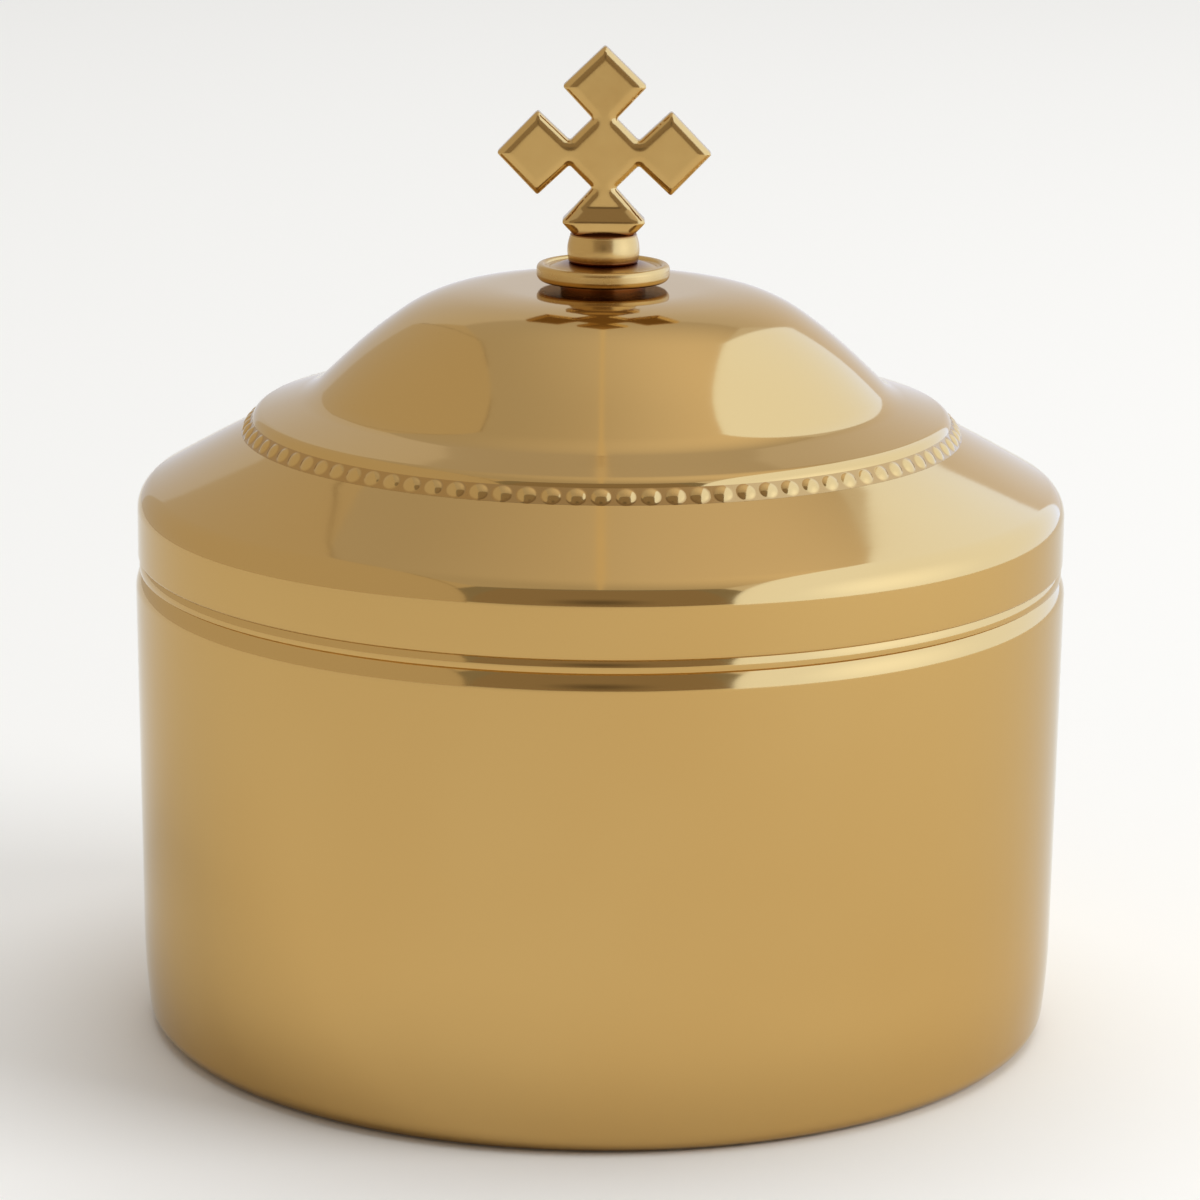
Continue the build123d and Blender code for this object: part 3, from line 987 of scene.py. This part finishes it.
class PYX_OT_fastening(Operator):
    """Make the threaded stud, and finish the washer and the nut inside the lid"""
    bl_idname = "pyx.fastening"
    bl_label = "Stud, washer and nut"
    bl_options = {"REGISTER", "UNDO"}

    # Steps round the stud and along a turn of its thread
    around = 36
    per_pitch = 8
    # Depth of the thread as a part of its pitch, play above the stud, and how far its ends taper
    thread_depth = 0.61
    end_gap = 0.03 * MM
    end_taper = 0.1 * MM

    def execute(self, context):
        pyx = context.scene.pyx
        brass = finish(pyx, "brass_turned_dull")
        for node in ("finial_washer", "finial_nut"):
            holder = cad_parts[node]
            holder.data.materials.clear()
            holder.data.materials.append(brass)
        settle(self.stud(pyx, brass), "lid", "plain_brass", "finial_stud")
        return {"FINISHED"}

    def stud(self, pyx, brass):
        """Rod with a 60 degree thread wound round it, and tapered ends."""
        finial = pyx.finial
        bottom = crown_top(pyx) - pyx.lid.wall - finial.washer_height - finial.nut_height
        bottom -= finial.stud_below_nut
        top = cross_foot(pyx) + finial.stud_in_cross - self.end_gap
        outer, pitch = finial.stud_diameter / 2, finial.stud_pitch
        root = outer - self.thread_depth * pitch
        rows = ceil((top - bottom) / pitch * self.per_pitch)
        vertices = []
        for i in range(rows + 1):
            z = bottom + (top - bottom) * i / rows
            cap = root + min(z - bottom, top - z) - self.end_taper
            for k in range(self.around):
                a = 2 * pi * k / self.around
                phase = ((z - bottom) / pitch - k / self.around) % 1.0
                # The crest is flat over a sixth of a turn.
                ridge = root + (outer - root) * fade(abs(phase - 0.5), 1 / 12, 1 / 2)
                r = min(ridge, max(cap, root - self.end_taper))
                vertices.append((r * cos(a), r * sin(a), z))
        faces = []
        for i in range(rows):
            for k in range(self.around):
                n = (k + 1) % self.around
                low, high = i * self.around, (i + 1) * self.around
                faces.append((low + k, low + n, high + n, high + k))
        faces.append(tuple(range(self.around)))
        faces.append(tuple(rows * self.around + k for k in reversed(range(self.around))))
        return new_piece("stud_threaded", vertices, faces, [brass])


class PYX_OT_stage(Operator):
    """Set up the floor, the light tent, the lamps and the camera"""
    bl_idname = "pyx.stage"
    bl_label = "Stage"
    bl_options = {"REGISTER", "UNDO"}

    def execute(self, context):
        scene = context.scene
        stage = scene.pyx.stage
        scene.view_settings.view_transform = "Standard"
        self.camera(scene, stage)
        self.floor(stage)
        self.room(scene, stage)
        self.lamps(stage)
        self.tent(stage)
        return {"FINISHED"}

    @staticmethod
    def camera(scene, stage):
        data = bpy.data.cameras.new("camera")
        data.sensor_width = 36.0
        data.lens = stage.focal_length
        data.clip_start = 0.01
        data.clip_end = 50.0
        place = Matrix.Translation((0.0, -stage.camera_distance, stage.camera_height))
        pitch = Matrix.Rotation(pi / 2 - stage.camera_pitch, 4, "X")
        roll = Matrix.Rotation(stage.camera_roll, 4, "Z")
        scene.camera = linked("camera", data)
        scene.camera.matrix_world = place @ pitch @ roll

    def floor(self, stage):
        material = bpy.data.materials.new("paper_matt_pale")
        tree = emptied(material)
        # Paper floor with a very fine tooth, 0.8 mm.
        place = add(tree, "ShaderNodeTexCoord").outputs["Object"]
        bump = add(tree, "ShaderNodeBump", {
            "Height": noise(tree, place, 0.8 * MM), "Strength": 0.1, "Distance": 0.02 * MM})
        paper = add(tree, "ShaderNodeBsdfDiffuse", {
            "Color": rgba(stage.floor), "Normal": bump.outputs["Normal"]})
        add(tree, "ShaderNodeOutputMaterial", {"Surface": paper.outputs["BSDF"]})
        reach, drop = 4.0, -0.05 * MM
        outline = self.oblong((-reach, -reach, drop), (2 * reach, 0, 0), (0, 2 * reach, 0))
        self.sheet("floor", outline, material)

    @staticmethod
    def room(scene, stage):
        """Even light from all round, for the floor and for what the tent leaves open."""
        world = bpy.data.worlds.new("room")
        scene.world = world
        tree = emptied(world)
        tint = rgba(linear("#f6f4f0"))
        light = add(tree, "ShaderNodeBackground", {"Color": tint, "Strength": stage.room_light})
        add(tree, "ShaderNodeOutputWorld", {"Surface": light.outputs["Background"]})

    @staticmethod
    def lamps(stage):
        """Large soft lamps over the paper and at its right, which aren't mirrored."""
        for name, power, place, aim, width in (
            ("lamp_top", stage.top_lamp, (0.3, 0.7, 2.5), (0.0, 0.3, 0.0), 2.4),
            ("lamp_right", stage.right_lamp, (1.2, -0.35, 0.75), (0.0, -0.05, 0.0), 0.8),
        ):
            data = bpy.data.lights.new(name, "AREA")
            data.shape = "SQUARE"
            data.size = width
            data.energy = power
            lamp = linked(name, data)
            lamp.location = place
            lamp.rotation_euler = (Vector(aim) - lamp.location).to_track_quat("-Z", "Y").to_euler()
            lamp.visible_glossy = False

    def tent(self, stage):
        """Light tent that the metal mirrors: round panels at the sides, the right one lit, open in front.

        Its sizes are in metres."""
        wall, low, high, front, back = 0.32, 0.004, 0.66, -0.42, 0.60
        panel, panel_radius, hem_width, hem_behind = 0.30, 0.60, 0.006, 0.001
        seam_width, seam_drop = 0.01, 0.004
        mouth, mouth_width, mouth_low, mouth_height = -1.2, 1.38, 0.02, 1.7
        across, deep, tall = (2 * wall, 0, 0), (0, back - front, 0), (0, 0, high - low)
        dim, lit, right, seam = stage.tent_left, stage.tent_top, stage.tent_right, stage.tent_seam
        cloth, oblong, disc = self.cloth, self.oblong, self.disc
        cloth("wall_left", oblong((-wall, front, low), deep, tall), "#fff9f0", dim)
        cloth("wall_right", oblong((wall, front, low), deep, tall), "#e6edff", lit)
        cloth("panel_left", disc(-panel, panel_radius, low), "#fff9f0", dim)
        cloth("hem_left", disc(-panel - hem_behind, panel_radius + hem_width, low), "#b0905c", seam)
        cloth("panel_right", disc(panel, panel_radius, low), "#bed1f8", right,
              (1.2 * right, (panel, -0.12, 0.12), 0.2))
        cloth("tent_top", oblong((-wall, front, high), across, deep), "#f5f4f8", dim,
              (lit, (wall, 0.1, high), 0.62))
        cloth("tent_back", oblong((-wall, back, low), across, tall), "#eceef8", 0.75 * stage.tent_back,
              (stage.tent_back, (wall, back, 0.1), 0.6))
        middle = oblong((-seam_width / 2, front, high - seam_drop), (seam_width, 0, 0), deep)
        cloth("seam_middle", middle, "#fff6e4", 0.82 * lit)
        # The room in front is darkest round the camera.
        room = oblong((-mouth_width / 2, mouth, mouth_low), (mouth_width, 0, 0), (0, 0, mouth_height))
        cloth("tent_mouth", room, "#fff0e0", stage.tent_mouth,
              (0.5 * stage.tent_mouth, (0.0, mouth, 0.32), 0.35))

    @staticmethod
    def oblong(corner, first, second):
        """Outline of a flat sheet, from a corner and its two sides."""
        corner, first, second = Vector(corner), Vector(first), Vector(second)
        return [corner, corner + first, corner + first + second, corner + second]

    @staticmethod
    def disc(x, radius, low, corners=96):
        """Outline of an upright round panel at the side, cut off at the floor."""
        y, z = 0.09, 0.06
        turns = [2 * pi * k / corners for k in range(corners)]
        return [(x, y + radius * cos(turn), max(low, z + radius * sin(turn))) for turn in turns]

    @staticmethod
    def sheet(name, outline, material):
        """Flat sheet with one face."""
        mesh = bpy.data.meshes.new(name)
        mesh.from_pydata(outline, [], [tuple(range(len(outline)))])
        mesh.materials.append(material)
        return linked(name, mesh)

    def cloth(self, name, outline, tint, strength, spot=None):
        """One sheet of the tent. It glows evenly, or has a spot with a strength, a centre and a reach."""
        material = bpy.data.materials.new(f"{name}_cloth_lit")
        tree = emptied(material)
        if spot:
            bright, centre, reach = spot
            place = add(tree, "ShaderNodeTexCoord").outputs["Object"]
            away = add(tree, "ShaderNodeVectorMath", {0: place, 1: centre}, operation="DISTANCE")
            strength = add(tree, "ShaderNodeMapRange", {
                "Value": away.outputs["Value"], "From Max": reach, "To Min": bright, "To Max": strength},
                interpolation_type="SMOOTHSTEP").outputs["Result"]
        glow = add(tree, "ShaderNodeEmission", {"Color": rgba(linear(tint)), "Strength": strength})
        add(tree, "ShaderNodeOutputMaterial", {"Surface": glow.outputs["Emission"]})
        sheet = self.sheet(name, outline, material)
        sheet.visible_camera = False
        sheet.visible_shadow = False
        sheet.visible_diffuse = False


class PYX_PT_sidebar(Panel):
    """Sizes, finishes and steps of the pyx"""
    bl_idname = "PYX_PT_sidebar"
    bl_label = "Pyx"
    bl_space_type = "VIEW_3D"
    bl_region_type = "UI"
    bl_category = "Pyx"

    def draw(self, context):
        layout = self.layout
        pyx = context.scene.pyx
        for heading in ("cup", "mouth_ring", "lid", "beads", "finial", "cross", "finishes", "stage"):
            group = getattr(pyx, heading)
            box = layout.box()
            box.label(text=heading.replace("_", " ").capitalize())
            for name in group.bl_rna.properties.keys():
                if name not in ("rna_type", "name"):
                    box.prop(group, name)
        for operator in operators:
            layout.operator(operator.bl_idname)


groups = (
    CupSizes, MouthRingSizes, LidSizes, BeadSizes, FinialSizes, CrossSizes, Finishes, StageSettings,
    PyxSettings)
operators = (
    PYX_OT_cup, PYX_OT_mouth_ring, PYX_OT_lid, PYX_OT_beads, PYX_OT_finial_foot, PYX_OT_cross,
    PYX_OT_fastening, PYX_OT_stage)


def register():
    for cls in groups + operators + (PYX_PT_sidebar,):
        bpy.utils.register_class(cls)
    bpy.types.Scene.pyx = PointerProperty(type=PyxSettings)


def unregister():
    del bpy.types.Scene.pyx
    for cls in reversed(groups + operators + (PYX_PT_sidebar,)):
        bpy.utils.unregister_class(cls)


def main():
    register()
    bpy.ops.pyx.stage()
    bpy.ops.pyx.cup()
    bpy.ops.pyx.mouth_ring()
    bpy.ops.pyx.lid()
    bpy.ops.pyx.beads()
    bpy.ops.pyx.finial_foot()
    bpy.ops.pyx.cross()
    bpy.ops.pyx.fastening()


if __name__ == "__main__":
    main()
